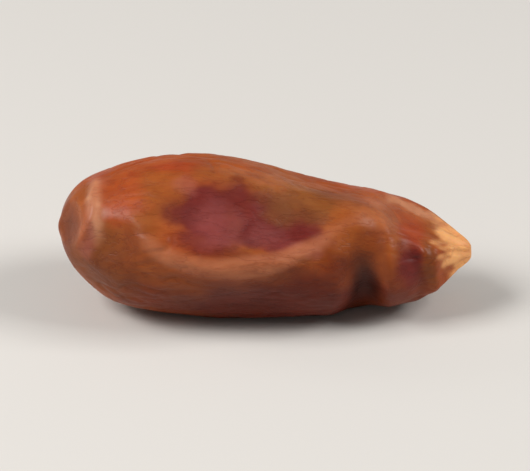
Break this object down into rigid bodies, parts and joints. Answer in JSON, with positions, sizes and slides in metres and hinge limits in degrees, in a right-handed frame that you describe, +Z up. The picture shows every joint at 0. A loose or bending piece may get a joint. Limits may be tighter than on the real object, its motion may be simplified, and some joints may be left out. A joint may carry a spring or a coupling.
{
  "type": "cured date fruit",
  "caption": "Whole cured date lying on its side, blunt at one end and puckered at the stem end, with pressed hollows and folded skin.",
  "frame": {"origin": "centre of the fruit's box, on the surface that it lies on", "axes": "+X along the fruit towards its stem end, +Y to its back, +Z up"},
  "size_m": [0.0442, 0.0188, 0.0168],
  "materials": {
    "date_skin": "glossy"
  },
  "bodies": {
    "root": {"date_fruit": "date_skin"}
  },
  "joints": []
}
